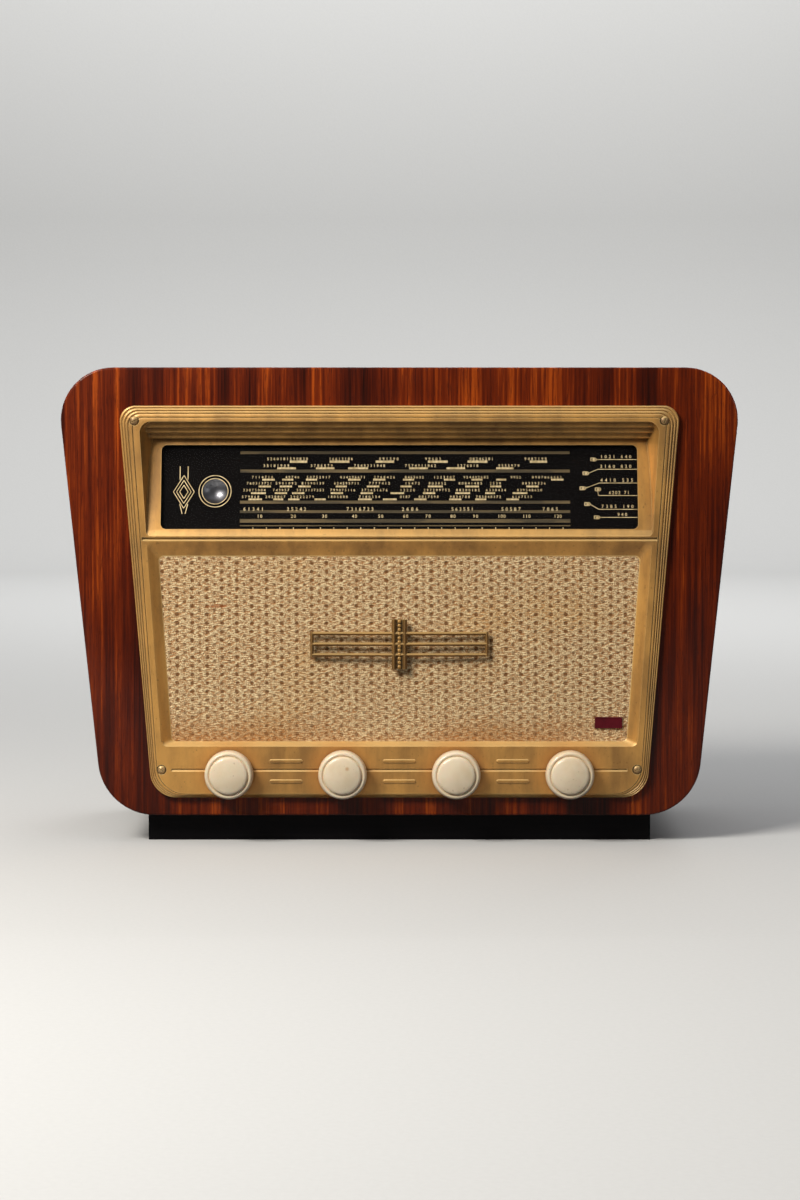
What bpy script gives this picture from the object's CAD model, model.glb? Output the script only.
# %% [markdown]
# # A valve radio in a splayed wooden cabinet
#
# The real set is a box of bent plywood with a veneered front. A gilt frame on the front
# holds the dial at the top, the loudspeaker cloth in the middle and four ivory knobs below.
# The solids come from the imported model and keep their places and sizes. This lesson gives
# them their looks. Pieces whose surface shows fine detail are made again as finer meshes,
# and the others keep their mesh and get a material.

import math
import random

import bmesh
import bpy
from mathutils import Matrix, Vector


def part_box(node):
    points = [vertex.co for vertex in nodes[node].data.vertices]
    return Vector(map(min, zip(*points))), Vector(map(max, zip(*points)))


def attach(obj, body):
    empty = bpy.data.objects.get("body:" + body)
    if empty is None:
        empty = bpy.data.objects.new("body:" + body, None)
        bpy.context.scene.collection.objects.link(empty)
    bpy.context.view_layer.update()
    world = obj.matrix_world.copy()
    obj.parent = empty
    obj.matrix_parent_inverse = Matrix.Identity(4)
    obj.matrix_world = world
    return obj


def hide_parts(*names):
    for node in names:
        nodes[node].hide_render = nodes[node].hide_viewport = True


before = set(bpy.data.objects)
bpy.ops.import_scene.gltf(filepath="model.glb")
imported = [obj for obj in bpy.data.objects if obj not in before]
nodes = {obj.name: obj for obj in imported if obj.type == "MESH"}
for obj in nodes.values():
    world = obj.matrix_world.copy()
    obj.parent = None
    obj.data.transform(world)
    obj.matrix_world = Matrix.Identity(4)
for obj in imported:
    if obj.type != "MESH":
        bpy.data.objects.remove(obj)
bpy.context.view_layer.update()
MM = 0.001
CABINET_D = 215
KNOB_Z = 56.7
KNOB_PITCH = 91
KNOB_XS = [KNOB_PITCH * step for step in (-1.5, -0.5, 0.5, 1.5)]

# %% [markdown]
# All sizes below are in millimetres, as on a workshop drawing, and the front of the cabinet
# lies at y = 0 there. The model's own frame has its middle at the origin, so `place` turns
# a drawing point into metres in that frame. The shift comes from a node whose place is
# known, and isn't typed in.

# %% From the drawing to the model
front_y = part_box("front_panel")[0].y


def place(x, y, z):
    """A point of the drawing, in metres in the model's frame."""
    return Vector((x * MM, y * MM + front_y, z * MM))


print("the front plane is at y =", round(front_y, 4), "m")

# %% [markdown]
# Most pieces of this set are one outline that changes a little along its depth: the shell,
# the panel, the frame. Such a piece could be modelled by hand with extrudes and insets, but
# a loft says the same in one call: a list of closed loops with the same number of points,
# joined by faces, with a cap at each end. A turned piece such as a knob is a profile spun
# round an axis, and a flat piece is an outline pushed along its thickness.

# %% Meshes from loops
def link_new(name, data):
    """An object that holds a mesh, a lamp or other data, put into the scene."""
    made = bpy.data.objects.new(name, data)
    bpy.context.scene.collection.objects.link(made)
    return made


def object_of(name, bm):
    """Moves a bmesh into an object of its own."""
    mesh = bpy.data.meshes.new(name)
    bm.to_mesh(mesh)
    bm.free()
    return link_new(name, mesh)


def weld(bm):
    """Joins points that coincide, and turns all faces outwards."""
    bmesh.ops.remove_doubles(bm, verts=bm.verts, dist=1e-7)
    bmesh.ops.recalc_face_normals(bm, faces=bm.faces)


def shade(bm, smooth):
    """Shades all faces smooth, and keeps the edges that are sharper than the angle."""
    for face in bm.faces:
        face.smooth = True
    for edge in bm.edges:
        if len(edge.link_faces) == 2:
            edge.smooth = edge.calc_face_angle() < math.radians(smooth)


def finish_mesh(name, bm, body="cabinet", replaces=(), smooth=35):
    """Turns a bmesh into a piece that rides on a body, with its sharp edges kept sharp."""
    weld(bm)
    shade(bm, smooth)
    piece = object_of(name, bm)
    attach(piece, body)
    if replaces:
        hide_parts(*replaces)
    return piece


def round_edges(piece, width, segments=2, angle=35):
    """Rounds every edge that is sharper than the angle, so that it catches the light."""
    bevel = piece.modifiers.new("soft_edges", "BEVEL")
    bevel.width = width * MM
    bevel.segments = segments
    bevel.limit_method = "ANGLE"
    bevel.angle_limit = math.radians(angle)
    bevel.harden_normals = True


def add_loft(bm, loops, caps=(True, True), closed=False):
    """Joins closed loops of points into a skin. With closed, the last loop meets the first."""
    rings = [[bm.verts.new(point) for point in loop] for loop in loops]
    if closed:
        rings.append(rings[0])
    for low, high in zip(rings, rings[1:]):
        for i in range(len(low)):
            j = (i + 1) % len(low)
            bm.faces.new((low[i], low[j], high[j], high[i]))
    if not closed and caps[0]:
        bm.faces.new(rings[0])
    if not closed and caps[1]:
        bm.faces.new(rings[-1])


def add_slab(bm, points, y0, y1):
    """Pushes an outline of (x, z) points from y0 to y1."""
    add_loft(bm, [[place(x, y, z) for x, z in points] for y in (y1, y0)])


def add_turned(bm, x, z, profile, steps=64, put=place):
    """Spins a profile of (radius, y) points round an axis that runs front to back.

    put turns a point of the drawing into its place in the model.
    """
    turns = [2 * math.pi * i / steps for i in range(steps)]
    add_loft(bm, [[
        put(x + max(radius, 0.001) * math.cos(a), y, z + max(radius, 0.001) * math.sin(a))
        for a in turns
    ] for radius, y in profile])


def pin(radius, y0, y1):
    """The profile of a plain round pin, or of the hole for one."""
    return [(0, y0), (radius, y0), (radius, y1), (0, y1)]


print("mesh helpers ready")

# %% [markdown]
# The cabinet, the frame, the dial and the cloth all have the same shape: a four-cornered
# outline that is wider at the top, with rounded corners. Four numbers say it: the half width
# at the foot and at the top, and the two heights. The next cell works with such a shape as
# a drawing office would: its half width at a height, the same shape a step further in, and
# its outline with corner radii.

# %% Splayed outlines
CORNER_STEPS = 16


def half_at(quad, z):
    """Half the width of a splayed shape at a height."""
    foot, top, z0, z1 = quad
    return foot + (top - foot) * (z - z0) / (z1 - z0)


def inset(quad, step):
    """The same shape with all four sides moved in by a step."""
    foot, top, z0, z1 = quad
    slope = (top - foot) / (z1 - z0)
    side = step * math.sqrt(1 + slope * slope)
    low, high = z0 + step, z1 - step
    return [half_at(quad, low) - side, half_at(quad, high) - side, low, high]


def blend(first, second, share):
    """A shape a share of the way from one to another."""
    return [a + (b - a) * share for a, b in zip(first, second)]


def corner_arc(before, corner, after, radius):
    """Points of the arc that rounds one corner, from the first side to the second."""
    corner = Vector(corner)
    to_before = (Vector(before) - corner).normalized()
    to_after = (Vector(after) - corner).normalized()
    half_angle = to_before.angle(to_after) / 2
    if radius < 0.01:
        return [tuple(corner)] * (CORNER_STEPS + 1)
    middle = corner + (to_before + to_after).normalized() * radius / math.sin(half_angle)
    tangent = radius / math.tan(half_angle)
    start = corner + to_before * tangent - middle
    end = corner + to_after * tangent - middle
    first = math.atan2(start.y, start.x)
    sweep = math.remainder(math.atan2(end.y, end.x) - first, 2 * math.pi)
    points = []
    for i in range(CORNER_STEPS + 1):
        angle = first + sweep * i / CORNER_STEPS
        points.append((middle.x + radius * math.cos(angle), middle.y + radius * math.sin(angle)))
    return points


def outline(quad, foot_r, top_r):
    """The rounded outline as (x, z) points, from the lower left corner round to the right."""
    foot, top, z0, z1 = quad
    corners = [(-foot, z0), (foot, z0), (top, z1), (-top, z1)]
    radii = [foot_r, foot_r, top_r, top_r]
    points = []
    for i in range(4):
        points += corner_arc(corners[i - 1], corners[i], corners[(i + 1) % 4], radii[i])
    return points


CABINET = [238.5, 275, 22, 382]
BOTTOM_R = 46
TOP_R = 42
ring = outline(CABINET, BOTTOM_R, TOP_R)
print("outline points:", len(ring), "first", [round(v, 1) for v in ring[0]])

# %% [markdown]
# A finish is a tree of nodes. In the shader editor it would be wired by hand, but a tree of
# thirty Math nodes is hard to read there. Here a socket is wrapped in a small class whose
# plus, minus, times and so on add the Math nodes, so a mask reads like a formula. Colours
# go through Mix nodes, because a Math node would turn a colour grey.

# %% A socket that does sums
class Value:
    """One output of a finish's tree."""

    def __init__(self, finish, socket):
        self.finish = finish
        self.socket = socket

    def math(self, operation, *others):
        sockets = dict(enumerate((self, *others)))
        return self.finish.node("ShaderNodeMath", {"operation": operation}, sockets)

    def __add__(self, other):
        return self.math("ADD", other)

    def __mul__(self, other):
        return self.math("MULTIPLY", other)

    def __sub__(self, other):
        return self.math("SUBTRACT", other)

    def __truediv__(self, other):
        return self.math("DIVIDE", other)

    def __rsub__(self, other):
        return self.finish.node("ShaderNodeMath", {"operation": "SUBTRACT"}, {0: other, 1: self})

    __radd__ = __add__
    __rmul__ = __mul__

    def part(self, axis):
        """One axis of a vector."""
        parts = self.finish.node("ShaderNodeSeparateXYZ", None, {0: self})
        return Value(self.finish, parts.socket.node.outputs[axis])

    def hypot(self, other):
        """The length of a step whose two parts are this value and another."""
        return (self * self + other * other).math("SQRT")

    def between(self, low, high):
        """0 below low, 1 above high, and smooth between them."""
        settings = {"interpolation_type": "SMOOTHSTEP"}
        return self.finish.node("ShaderNodeMapRange", settings, {0: self, 1: low, 2: high})


class Finish:
    """A material with one surface shader. `node` adds any other node to its tree."""

    def __init__(self, name, **shader):
        self.material = bpy.data.materials.new(name)
        self.material.use_nodes = True
        self.tree = self.material.node_tree
        self.shader = self.tree.nodes["Principled BSDF"]
        for key, value in shader.items():
            self.set(key, value)

    def set(self, key, value):
        """Sets or feeds a socket of the surface shader, named with _ for spaces."""
        self.feed(self.shader.inputs[key.replace("_", " ")], value)

    def feed(self, socket, value):
        if isinstance(value, Value):
            self.tree.links.new(value.socket, socket)
        else:
            socket.default_value = value

    def node(self, kind, settings=None, sockets=None, output=0):
        """Adds a node: its settings first, then the values and links of its sockets."""
        made = self.tree.nodes.new(kind)
        for key, value in (settings or {}).items():
            if key == "stops":
                fill_ramp(made.color_ramp, value)
            else:
                setattr(made, key, value)
        for key, value in (sockets or {}).items():
            self.feed(made.inputs[key], value)
        return Value(self, made.outputs[output])

    def place(self):
        """Where a point of the piece is, in metres in the model's frame."""
        return self.node("ShaderNodeTexCoord", output="Object")

    def mm(self, axis):
        """One axis of the place, in millimetres."""
        return self.place().part(axis) * 1000

    def stretch(self, x, y, z, turn=(0, 0, 0)):
        """The place, scaled along each axis, so that a pattern can be long and thin."""
        sockets = {"Vector": self.place(), "Scale": (x, y, z), "Rotation": turn}
        return self.node("ShaderNodeMapping", None, sockets)

    def noise(self, vector, scale=1.0, detail=3.0, roughness=0.5):
        sockets = {"Vector": vector, "Scale": scale, "Detail": detail, "Roughness": roughness}
        return self.node("ShaderNodeTexNoise", None, sockets)

    def ramp(self, value, stops):
        """A colour that changes with a value through a list of (place, colour) stops."""
        return self.node("ShaderNodeValToRGB", {"stops": stops}, {0: value})

    def mix(self, amount, first, second):
        """Goes from the first colour to the second."""
        return self.node("ShaderNodeMix", {"data_type": "RGBA"}, {0: amount, 6: first, 7: second}, 2)

    def bump(self, height, depth):
        """Feeds a height in parts of a depth in metres to the surface's normal."""
        sockets = {"Height": height, "Distance": depth, "Strength": 1.0}
        self.set("Normal", self.node("ShaderNodeBump", None, sockets))

    def wear(self, radius=0.0012):
        """1 on sharp outer edges and 0 on flats, from the angle a bevel would turn them."""
        rounded = self.node("ShaderNodeBevel", {"samples": 6}, {"Radius": radius})
        flat = self.node("ShaderNodeNewGeometry", output="Normal")
        dot = self.node("ShaderNodeVectorMath", {"operation": "DOT_PRODUCT"},
                        {0: rounded, 1: flat}, "Value")
        return (1 - dot).between(0.02, 0.2)

    def hollow(self, reach, low, high):
        """1 deep in grooves and 0 in the open, from how much sky a point sees."""
        sky = self.node("ShaderNodeAmbientOcclusion", {"samples": 8}, {"Distance": reach}, "AO")
        return 1 - sky.between(low, high)

    def on(self, *pieces):
        """Gives the pieces this finish in place of what they have."""
        for piece in pieces:
            piece.data.materials.clear()
            piece.data.materials.append(self.material)
        return self


def fill_ramp(ramp, stops):
    while len(ramp.elements) < len(stops):
        ramp.elements.new(1.0)
    for element, (position, colour) in zip(ramp.elements, stops):
        element.position = position
        element.color = colour


def rgb(red, green, blue):
    """A colour as a picture editor gives it, 0 to 255, as the light that it stands for."""
    light = [c / 255 for c in (red, green, blue)]
    light = [c / 12.92 if c <= 0.04045 else ((c + 0.055) / 1.055) ** 2.4 for c in light]
    return (*light, 1.0)


print("finish helpers ready; mid grey is", round(rgb(128, 128, 128)[0], 3))

# %% [markdown]
# The veneer is ribbon-striped mahogany under thick varnish. Up close it has three scales:
# soft light and dark ribbons a finger wide, thin brown streaks, and pores like pencil
# dashes. A picture of wood would do for one view, but noise that is stretched along the
# grain gives all three at their true size on any piece. The grain runs up the front, and
# round the shell, so the stretch is a choice of the piece.

# %% Veneer
def veneer(name, across, along, seed):
    """Varnished mahogany. across and along are the axes' share of the pattern's changes."""
    wood = Finish(name, Coat_Roughness=0.1, Specular_IOR_Level=0.08)

    def layer(wide, long, detail, offset, roughness=0.5):
        grain = wood.stretch(*(a * wide + b * long for a, b in zip(across, along)))
        sockets = {"Vector": grain, "W": seed + offset, "Scale": 1.0, "Detail": detail,
                   "Roughness": roughness}
        return wood.node("ShaderNodeTexNoise", {"noise_dimensions": "4D"}, sockets)

    ribbons = layer(60, 1.4, 3, 0.0)
    streaks = layer(420, 9, 4, 1.7, 0.65)
    mottle = layer(18, 9, 3, 3.1)
    pores = layer(1700, 110, 2, 5.3).between(0.55, 0.66)
    tone = ribbons * 0.4 + streaks * 0.38 + mottle * 0.22
    colour = wood.ramp(tone, [
        (0.38, rgb(34, 8, 3)),
        (0.46, rgb(70, 19, 4)),
        (0.54, rgb(106, 35, 6)),
        (0.62, rgb(176, 77, 17)),
    ])
    wood.set("Base_Color", wood.mix(pores * 0.5, colour, rgb(46, 12, 6)))
    wood.set("Roughness", 0.34 + 0.2 * streaks)
    wood.set("Coat_Weight", 0.1 + 0.1 * mottle)
    wood.bump(streaks * 0.3 - pores * 0.5, 0.00006)
    return wood


front_veneer = veneer("front_veneer", (1, 1, 0), (0, 0, 1), 2.0)
shell_veneer = veneer("shell_veneer", (0, 1, 0), (1, 0, 1), 7.0)
print("veneer nodes:", len(front_veneer.tree.nodes))

# %% [markdown]
# The plain woods need less. The plinth is stained black and barely shines, the battens are
# raw pine, and the back and the loudspeaker's board are pressed board with short fibres.

# %% Plain woods and boards
def plain_wood(name, light, dark, scale, roughness, coat=0.0):
    """Wood or board with fibres along its own axes. scale is changes per metre on each."""
    wood = Finish(name, Coat_Weight=coat, Coat_Roughness=0.3, Specular_IOR_Level=0.25)
    fibres = wood.noise(wood.stretch(*scale), 1.0, 5, 0.6)
    patches = wood.noise(wood.place(), 18, 2)
    tone = fibres * 0.7 + patches * 0.3
    wood.set("Base_Color", wood.mix(tone.between(0.35, 0.65), dark, light))
    wood.set("Roughness", roughness - 0.15 * patches)
    wood.bump(fibres, 0.00015)
    return wood


black_wood = plain_wood("black_stain", rgb(11, 9, 11), rgb(6, 5, 7), (20, 400, 400), 0.6, 0.04)
black_wood.set("Specular_IOR_Level", 0.06)
raw_pine = plain_wood("raw_pine", rgb(206, 166, 112), rgb(168, 122, 72), (400, 12, 400), 0.8)
brown_board = plain_wood("brown_board", rgb(128, 92, 58), rgb(92, 62, 38), (700, 700, 700), 0.9)
print("plain woods:", [m.material.name for m in (black_wood, raw_pine, brown_board)])

# %% [markdown]
# The frame is moulded plastic with a gilt lacquer that has aged: it is duller and browner
# where fingers and polish have rubbed it, dark with dirt in the grooves, and brighter on
# the edges and on faces that look up, where a cloth reaches. Dirt in grooves is where the
# Ambient Occlusion node sees little sky, so one node darkens every groove of the frame.

# %% Gilt lacquer
def gilt(name, bright, dull, dirt, roughness, edge_shine=0.6, top_shine=0.65, knob_glow=False):
    """Aged gilding. knob_glow adds the warm tint that is rubbed in round the four knobs."""
    lacquer = Finish(name, Coat_Weight=0.1, Coat_Roughness=0.25)
    wipes = lacquer.noise(lacquer.stretch(60, 60, 14), 1.0, 5, 0.6)
    spots = lacquer.noise(lacquer.place(), 420, 3)
    blotches = lacquer.noise(lacquer.place(), 16, 4, 0.6)
    groove = lacquer.hollow(0.006, 0.25, 0.95)
    aged = wipes * 0.55 + blotches * 0.45
    colour = lacquer.mix(aged.between(0.35, 0.66), bright, dull)
    colour = lacquer.mix(spots.between(0.62, 0.75) * 0.35, colour, dirt)
    colour = lacquer.mix(groove * 0.8, colour, dirt)
    edge = lacquer.wear()
    upward = lacquer.node("ShaderNodeNewGeometry", output="Normal").part(2).between(0.25, 0.8)
    polished = (edge * edge_shine).math("MAXIMUM", upward * top_shine)
    colour = lacquer.mix(polished, colour, rgb(252, 214, 142))
    if knob_glow:
        across = (lacquer.mm(0) - KNOB_PITCH / 2).math("PINGPONG", KNOB_PITCH / 2)
        near = 1 - across.hypot(lacquer.mm(2) - KNOB_Z).between(19, 36)
        colour = lacquer.mix(near * (0.1 + 0.5 * blotches), colour, rgb(208, 138, 64))
    lacquer.set("Base_Color", colour)
    lacquer.set("Metallic", 0.4 - 0.3 * groove)
    lacquer.set("Roughness", roughness + 0.2 * aged + 0.2 * groove - 0.1 * edge)
    lacquer.bump(wipes * 0.4 + spots * 0.6, 0.00005)
    return lacquer


gilt_lacquer = gilt("gilt_lacquer", rgb(210, 156, 80), rgb(150, 109, 56), rgb(40, 23, 9), 0.36,
                    knob_glow=True)
gilt_brass = gilt("gilt_brass", rgb(142, 103, 50), rgb(94, 67, 32), rgb(28, 18, 8), 0.45, 0.25,
                  top_shine=0.35)
gilt_screw = gilt("gilt_screw", rgb(172, 138, 92), rgb(122, 92, 56), rgb(44, 30, 18), 0.34, 0.5)
print("gilt nodes:", len(gilt_lacquer.tree.nodes))

# %% [markdown]
# Inside the set most pieces are plated steel, aluminium, iron laminations or dark moulded
# plastic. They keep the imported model's meshes. Each gets a finish with its own fine marks,
# such as rolled streaks on sheet or cast speckle on iron.

# %% Metals and mouldings of the works
def worked(name, light, dark, stretch, metallic, roughness, depth=0.00004, coat=0.0):
    """A surface whose marks run as the three changes per metre in stretch say."""
    surface = Finish(name, Coat_Weight=coat, Coat_Roughness=0.15)
    marks = surface.noise(surface.stretch(*stretch), 1.0, 4, 0.6)
    cloud = surface.noise(surface.place(), 24, 3)
    tone = (marks * 0.6 + cloud * 0.4).between(0.34, 0.66)
    surface.set("Base_Color", surface.mix(tone, dark, light))
    surface.set("Metallic", metallic)
    surface.set("Roughness", roughness + 0.16 * cloud)
    surface.bump(marks, depth)
    return surface


steel = worked("steel", rgb(190, 188, 182), rgb(140, 136, 128), (40, 900, 900), 0.9, 0.32)
aluminium = worked("aluminium", rgb(214, 214, 212), rgb(178, 178, 176), (900, 30, 900), 0.95, 0.28)
iron = worked("iron", rgb(70, 66, 62), rgb(40, 36, 34), (500, 500, 500), 0.5, 0.6, 0.0001)
laminations = worked("laminations", rgb(96, 88, 80), rgb(48, 42, 38), (20, 20, 1800), 0.6, 0.55)
bakelite = worked("bakelite", rgb(62, 34, 20), rgb(34, 18, 12), (160, 160, 160), 0.0, 0.3, coat=0.4)
white_card = worked("white_card", rgb(238, 232, 214), rgb(216, 206, 182), (600, 600, 600), 0.0, 0.8)
cone_paper = worked("cone_paper", rgb(64, 58, 52), rgb(40, 36, 32), (700, 700, 700), 0.0, 0.95, 0.0002)
drive_cord = worked("drive_cord", rgb(196, 176, 128), rgb(140, 118, 76), (1500, 1500, 1500), 0.0, 0.9)
red_paint = worked("red_paint", rgb(196, 44, 30), rgb(158, 30, 22), (300, 300, 300), 0.0, 0.4, coat=0.3)
print("nodes in the steel finish:", len(steel.tree.nodes))

# %% [markdown]
# The knobs are moulded ivory plastic. It lets a little light in, so its shadows stay warm,
# and years of hands have left it slightly yellow with faint brown specks. The second knob
# has one larger stain. Clear glass needs only a smooth surface, but a valve also has a
# silver patch inside its top. Paint and cast metal vary softly, and one function makes
# such a finish from a single noise.

# %% Ivory, glass and paint
STAIN_X, STAIN_Z = -41.6, 62.7
SILVER_LOW, SILVER_HIGH = 0.150, 0.158


def ivory_plastic():
    ivory = Finish("ivory", Roughness=0.3, Coat_Weight=0.3, Coat_Roughness=0.12,
                   Subsurface_Weight=0.12, Subsurface_Scale=0.004)
    cloud = ivory.noise(ivory.place(), 30, 4, 0.6)
    specks = ivory.noise(ivory.place(), 360, 2).between(0.68, 0.74)
    grime = ivory.hollow(0.003, 0.3, 0.9)
    colour = ivory.mix(cloud.between(0.35, 0.7), rgb(240, 222, 192), rgb(228, 206, 170))
    colour = ivory.mix(specks * 0.35, colour, rgb(150, 110, 66))
    stain = 1 - (ivory.mm(0) - STAIN_X).hypot(ivory.mm(2) - STAIN_Z).between(0.4, 2.4)
    colour = ivory.mix(stain * 0.6, colour, rgb(196, 138, 70))
    ivory.set("Base_Color", ivory.mix(grime * 0.45, colour, rgb(188, 150, 98)))
    ivory.set("Roughness", 0.26 + 0.12 * cloud)
    ivory.bump(cloud, 0.00005)
    return ivory


def clouded(name, size, dark, light, smoothest, rougher, detail=3, **shader):
    """A finish whose colour and roughness rise together with one soft noise."""
    surface = Finish(name, **shader)
    cloud = surface.noise(surface.place(), size, detail)
    surface.set("Base_Color", surface.mix(cloud, dark, light))
    surface.set("Roughness", smoothest + rougher * cloud)
    return surface


def lamp_bulb_glass():
    glass = Finish("lamp_glass", Transmission_Weight=1.0, IOR=1.45, Base_Color=(1, 0.98, 0.92, 1))
    haze = glass.noise(glass.place(), 90, 3)
    glass.set("Roughness", 0.02 + 0.05 * haze)
    return glass


def thin_glass():
    """Flat glass bends no light that matters, so it is a faint film with a gloss."""
    glass = Finish("dial_pane", Base_Color=rgb(40, 42, 40), Specular_IOR_Level=1.0)
    haze = glass.noise(glass.place(), 12, 3)
    glass.set("Roughness", 0.06 + 0.06 * haze)
    glass.set("Alpha", 0.015 + 0.015 * haze)
    return glass


def valve_glass():
    """Clear below, and silvered towards the top where the getter was fired."""
    glass = Finish("valve_glass", IOR=1.45, Transmission_Weight=0.9)
    height = glass.place().part(2)
    spotty = height + 0.006 * glass.noise(glass.place(), 120, 3)
    silver = spotty.between(SILVER_LOW, SILVER_HIGH)
    glass.set("Base_Color", glass.mix(silver, rgb(236, 240, 236), rgb(70, 74, 78)))
    glass.set("Metallic", silver * 0.9)
    glass.set("Roughness", 0.04 + 0.1 * silver)
    return glass


ivory = ivory_plastic()
lamp_glass = lamp_bulb_glass()
dial_pane = thin_glass()
valve_envelope = valve_glass()
maroon_plate = worked("maroon_plate", rgb(98, 18, 30), rgb(66, 11, 20), (60, 900, 60), 0.0, 0.4)
maroon_plate.set("Specular_IOR_Level", 0.15)
print("ivory, glass and paint ready")

# %% [markdown]
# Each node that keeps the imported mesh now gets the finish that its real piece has. A table
# from finish to nodes is quicker to read and check than one call a node. Nodes that a finer
# piece will replace are left out of it.

# %% Finishes for the nodes that keep their mesh
finish_of = {
    black_wood: ["plinth"],
    raw_pine: ["cabinet_battens"],
    brown_board: ["back_cover", "speaker_board"],
    steel: ["dial_frame", "pointer_rail", "spindle_volume", "spindle_tone", "spindle_waveband",
            "spindle_tuning", "volume_control", "tone_control", "chassis", "chassis_bolts",
            "speaker_bolts", "capacitor_frame", "magic_eye_holder"],
    gilt_brass: ["lamp_holders", "tuning_bush", "back_screws"],
    lamp_glass: ["dial_lamps"],
    aluminium: ["tuning_drum", "capacitor_rotor", "capacitor_stators", "if_cans",
                "smoothing_capacitor"],
    iron: ["speaker_magnet", "speaker_basket"],
    laminations: ["mains_transformer", "output_transformer"],
    bakelite: ["waveband_switch", "valve_sockets", "terminal_strip", "mains_inlet",
               "voltage_selector", "pulley_left", "pulley_right", "pulley_middle"],
    valve_envelope: ["mixer_valve", "if_valve", "audio_valve", "output_valve",
                     "rectifier_valve"],
    white_card: ["dial_reflector"],
    cone_paper: ["speaker_cone"],
    drive_cord: ["dial_cords"],
    red_paint: ["pointer"],
}
for finish, names in finish_of.items():
    finish.on(*(nodes[name] for name in names))
print("nodes with a finish:", sum(len(names) for names in finish_of.values()))

# %% [markdown]
# The front panel is a veneered board set into the mouth of the shell. Its edge is rounded
# and the varnish is thin there, so a light line runs round it in the real set. The panel
# has a large opening behind the gilt frame, which is cut with a Boolean modifier, as a
# joiner would saw it. The exact solver is used, because the cut must leave clean edges.

# %% Cutting one piece out of another
def cut(piece, *cutters, operation="DIFFERENCE"):
    """Cuts the pieces, one after another, and bakes the result into the first one's mesh."""
    for cutter in cutters:
        saw = piece.modifiers.new("saw", "BOOLEAN")
        saw.object = cutter
        saw.operation = operation
        saw.solver = "EXACT"
        bpy.context.view_layer.update()
        depsgraph = bpy.context.evaluated_depsgraph_get()
        mesh = bpy.data.meshes.new_from_object(piece.evaluated_get(depsgraph))
        piece.modifiers.remove(saw)
        piece.data = mesh
        bpy.data.objects.remove(cutter)
    return piece


def cutter(bm):
    """A loose closed mesh to cut with."""
    weld(bm)
    return object_of("cutter", bm)


def solid(add, *sizes, **more):
    """A cutter of a single form: one of the add functions, and what it needs."""
    bm = bmesh.new()
    add(bm, *sizes, **more)
    return cutter(bm)


def sharpen(piece, smooth=35):
    """Cleans a piece after its cuts, and shades it anew."""
    bm = bmesh.new()
    bm.from_mesh(piece.data)
    bmesh.ops.remove_doubles(bm, verts=bm.verts, dist=1e-6)
    bmesh.ops.dissolve_degenerate(bm, edges=bm.edges, dist=1e-6)
    shade(bm, smooth)
    bm.to_mesh(piece.data)
    bm.free()


# %% Front panel
SHELL_T = 10
PANEL_T = 10
BEZEL = [199, 224.25, 37, 351.5]
RIM = [193.36, 213.19, 40.2, 342]


def opening(z0, z1, side):
    """A shape whose sides keep a distance inside the gilt frame's rim."""
    return [half_at(RIM, z0) - side, half_at(RIM, z1) - side, z0, z1]


def loop_at(quad, foot_r, top_r, y):
    return [place(x, y, z) for x, z in outline(quad, foot_r, top_r)]


def cabinet_loop(step, y):
    """The outline of the cabinet, a step further in, at a depth."""
    return loop_at(inset(CABINET, step), BOTTOM_R - step, TOP_R - step, y)


WINDOW = opening(74, 341, 2.7)
bm = bmesh.new()
edge_steps = [(1.9, 0.0), (1.0, 0.15), (0.35, 0.55), (0.05, 1.2), (0.0, 2.2), (0.0, PANEL_T)]
add_loft(bm, [cabinet_loop(*step) for step in edge_steps])
front_panel = finish_mesh("front_panel_veneered", bm, replaces=["front_panel"])
bm = bmesh.new()
add_slab(bm, outline(WINDOW, 6, 14), -5, PANEL_T + 5)
for x in KNOB_XS:
    add_turned(bm, x, KNOB_Z, pin(6, -5, PANEL_T + 5), 24)
cut(front_panel, cutter(bm))
sharpen(front_panel)
front_veneer.on(front_panel)
print("front panel faces:", len(front_panel.data.polygons))

# %% [markdown]
# The shell is plywood bent into a ring and veneered outside. It is a closed loft: up the
# outside, over the rear edge, forward along the inside and back to the start. Only its
# outer faces are veneered, so the mesh has two material slots, and the rear edge and the
# inside show raw plywood.

# %% Shell
shell_loops = [
    (0, PANEL_T), (0, 30), (0, CABINET_D - 1.2), (0.35, CABINET_D - 0.35), (1.2, CABINET_D),
    (SHELL_T - 1, CABINET_D), (SHELL_T, CABINET_D - 1), (SHELL_T, PANEL_T),
]
bm = bmesh.new()
add_loft(bm, [cabinet_loop(*step) for step in shell_loops], closed=True)
shell = finish_mesh("cabinet_shell_veneered", bm, replaces=["cabinet_shell"])
shell_veneer.on(shell)
plywood = plain_wood("plywood", rgb(188, 142, 92), rgb(138, 96, 58), (6, 500, 500), 0.75)
shell.data.materials.append(plywood.material)
front = place(0, PANEL_T + 0.01, 0).y
rear = place(0, CABINET_D - 1.25, 0).y
middle_z = place(0, 0, 200).z
for face in shell.data.polygons:
    inwards = Vector((face.center.x, 0, face.center.z - middle_z)).dot(face.normal) < 0
    if inwards or face.center.y > rear or face.center.y < front:
        face.material_index = 1
print("plywood faces:", sum(face.material_index for face in shell.data.polygons))

# %% [markdown]
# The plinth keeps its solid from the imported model. Only its sharp corners are wrong, since
# a painted board always has a slight round that catches light. A Bevel modifier adds it
# without touching the mesh. The battens and the back get the same.

# %% Soft edges on the wooden parts
edge_rounds = {"plinth": 0.8, "cabinet_battens": 0.6, "back_cover": 0.3}
for name, width in edge_rounds.items():
    round_edges(nodes[name], width)
print("soft edges on", list(edge_rounds))

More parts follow.
